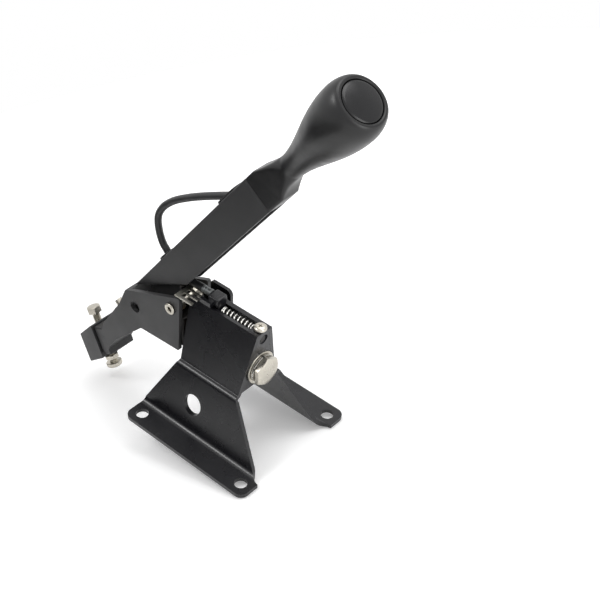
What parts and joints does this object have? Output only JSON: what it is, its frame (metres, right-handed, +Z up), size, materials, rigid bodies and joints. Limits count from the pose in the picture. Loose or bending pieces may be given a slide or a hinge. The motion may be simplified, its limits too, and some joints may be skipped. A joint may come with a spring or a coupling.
{
  "type": "short shifter",
  "caption": "Floor-mounted gear lever on a folded steel base, with a push-button spring latch and a linkage clamp.",
  "frame": {"origin": "centre of the four mounting holes, in the plane of the feet's undersides", "axes": "+Z up from the mounting plane; +X along the pivot bolt towards its head, the way the lever leans; +Y towards the foot furthest from the comb"},
  "size_m": [0.2507, 0.106, 0.3275],
  "materials": {
    "black_powder_coat": "semi-gloss black",
    "zinc_plate": "bright plated",
    "dark_steel": "blackened",
    "spring_steel": "bright wire",
    "bearing_bronze": "turned",
    "cable_sheath": "satin",
    "handle_moulding": "satin moulding",
    "button_moulding": "smooth moulding"
  },
  "bodies": {
    "base": {"base_bracket": "black_powder_coat", "pivot_bolt": "zinc_plate", "pivot_flat_washer": "zinc_plate", "pivot_spring_washer": "spring_steel", "front_bush": "bearing_bronze", "rear_bush": "bearing_bronze", "pivot_nut": "zinc_plate", "stop_screw": "zinc_plate", "tab_screw": "zinc_plate", "slider_guide": "black_powder_coat", "guide_screw": "zinc_plate", "latch_spring": "spring_steel"},
    "lever": {"pivot_hub": "dark_steel", "lever_bracket": "black_powder_coat", "lever_arm": "black_powder_coat", "near_arm_plate": "black_powder_coat", "far_arm_plate": "black_powder_coat", "arm_rivet": "zinc_plate", "near_spacer": "zinc_plate", "far_spacer": "zinc_plate", "handle": "handle_moulding", "button_spring": "spring_steel", "release_cable": "cable_sheath", "upper_grommet": "cable_sheath", "lower_grommet": "cable_sheath", "latch_comb": "zinc_plate", "web_screw": "zinc_plate", "clamp_lug": "black_powder_coat", "swivel_stud": "zinc_plate"},
    "button": {"push_button": "button_moulding", "push_rod": "spring_steel"},
    "latch": {"latch_slider": "black_powder_coat", "guide_rod": "dark_steel", "cable_ferrule": "dark_steel"},
    "clamp": {"clamp_block": "black_powder_coat", "clamp_bolt": "zinc_plate", "clamp_lock_nut": "zinc_plate", "clamp_screw": "zinc_plate"}
  },
  "joints": [
    {"name": "lever_swing", "type": "hinge", "parent": "base", "child": "lever", "pos_m": [0, 0, 0.062], "axis": [1, 0, 0], "range_deg": [-8, 8]},
    {"name": "button_press", "type": "slide", "parent": "lever", "child": "button", "axis": [-0.6046, 0, -0.7965], "range_m": [0, 0.004], "stiffness_N_per_m": 500, "springref_m": -0.003, "deforming": ["button_spring"]},
    {"name": "latch_slide", "type": "slide", "parent": "base", "child": "latch", "axis": [1, 0, 0], "range_m": [0, 0.004], "stiffness_N_per_m": 500, "springref_m": -0.003, "deforming": ["latch_spring"]},
    {"name": "clamp_swivel", "type": "hinge", "parent": "lever", "child": "clamp", "pos_m": [-0.12892, 0, -0.00054], "axis": [0.9171, 0, 0.3987], "range_deg": [-15, 15]}
  ],
  "couplings": [
    {"joint": "latch_slide", "follows": "button_press", "ratio": 1}
  ]
}
